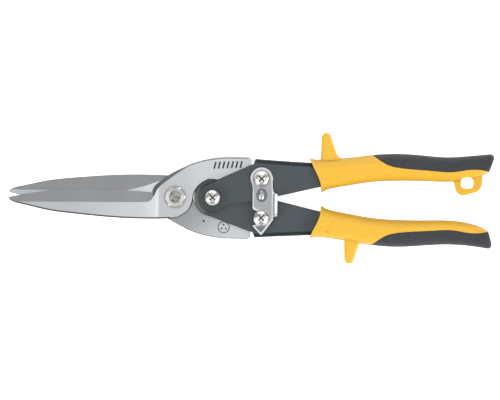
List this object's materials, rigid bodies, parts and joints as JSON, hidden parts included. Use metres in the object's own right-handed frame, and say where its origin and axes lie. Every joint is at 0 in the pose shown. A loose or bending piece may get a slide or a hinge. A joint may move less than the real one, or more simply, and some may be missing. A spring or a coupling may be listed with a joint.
{
  "type": "aviation snips",
  "caption": "Long-blade compound-action sheet-metal snips lying flat and latched shut, with nested channel handles and two-tone grips.",
  "frame": {"origin": "middle of the bounding box on the plane the tool lies on", "axes": "+X from the blade tips to the grips, +Y towards the handle that carries the latch, +Z out of the front face"},
  "size_m": [0.2896, 0.078, 0.0237],
  "materials": {
    "blade_steel": "satin ground steel",
    "zinc_fastener": "bright zinc plate",
    "bush_steel": "turned steel",
    "spring_steel": "drawn wire",
    "latch_plating": "bright nickel plate",
    "handle_paint": "dark slate satin coating",
    "grip_yellow": "yellow moulded plastic, light gloss",
    "grip_dark": "dark grey soft moulding"
  },
  "bodies": {
    "front_blade": {"front_blade": "blade_steel", "blade_pivot_bolt": "zinc_fastener", "blade_pivot_washer": "zinc_fastener", "blade_pivot_nut": "zinc_fastener"},
    "rear_blade": {"rear_blade": "blade_steel"},
    "upper_handle": {"upper_handle_channel": "handle_paint", "handle_pivot_bolt": "zinc_fastener", "handle_pivot_sleeve": "bush_steel", "handle_pivot_washer": "zinc_fastener", "handle_pivot_nut": "zinc_fastener", "upper_tail_bolt": "zinc_fastener", "upper_tail_spacer": "bush_steel", "upper_tail_washer": "zinc_fastener", "upper_tail_nut": "zinc_fastener", "latch_wave_washer": "zinc_fastener", "upper_grip_core": "grip_yellow", "upper_grip_pad": "grip_dark"},
    "lower_handle": {"lower_handle_channel": "handle_paint", "lower_tail_bolt": "zinc_fastener", "lower_tail_spacer": "bush_steel", "lower_tail_washer": "zinc_fastener", "lower_tail_nut": "zinc_fastener", "return_spring": "spring_steel", "lower_grip_core": "grip_yellow", "lower_grip_pad": "grip_dark"},
    "latch": {"latch_plate": "latch_plating", "latch_detent_button": "latch_plating"}
  },
  "joints": [
    {"name": "handle_pivot", "type": "hinge", "parent": "upper_handle", "child": "lower_handle", "pos_m": [-0.02285, -0.0007, 0.0108], "axis": [0, 0, -1], "range_deg": [0, 36], "deforming": ["return_spring"]},
    {"name": "blade_pivot", "type": "hinge", "parent": "front_blade", "child": "rear_blade", "pos_m": [-0.04525, -0.0007, 0.0108], "axis": [0, 0, -1], "range_deg": [0, 19.5]},
    {"name": "upper_tail_pivot", "type": "hinge", "parent": "front_blade", "child": "upper_handle", "pos_m": [0.00625, 0.01095, 0.0108], "axis": [0, 0, 1], "range_deg": [0, 8.38]},
    {"name": "latch_pivot", "type": "hinge", "parent": "upper_handle", "child": "latch", "pos_m": [0.00625, 0.01095, 0.0181], "axis": [0, 0, 1], "range_deg": [0, 61.3]}
  ],
  "couplings": [
    {"joint": "blade_pivot", "follows": "handle_pivot", "ratio": 0.539},
    {"joint": "upper_tail_pivot", "follows": "handle_pivot", "ratio": 0.23},
    {"joint": "latch_pivot", "follows": "handle_pivot", "ratio": 1.7}
  ]
}
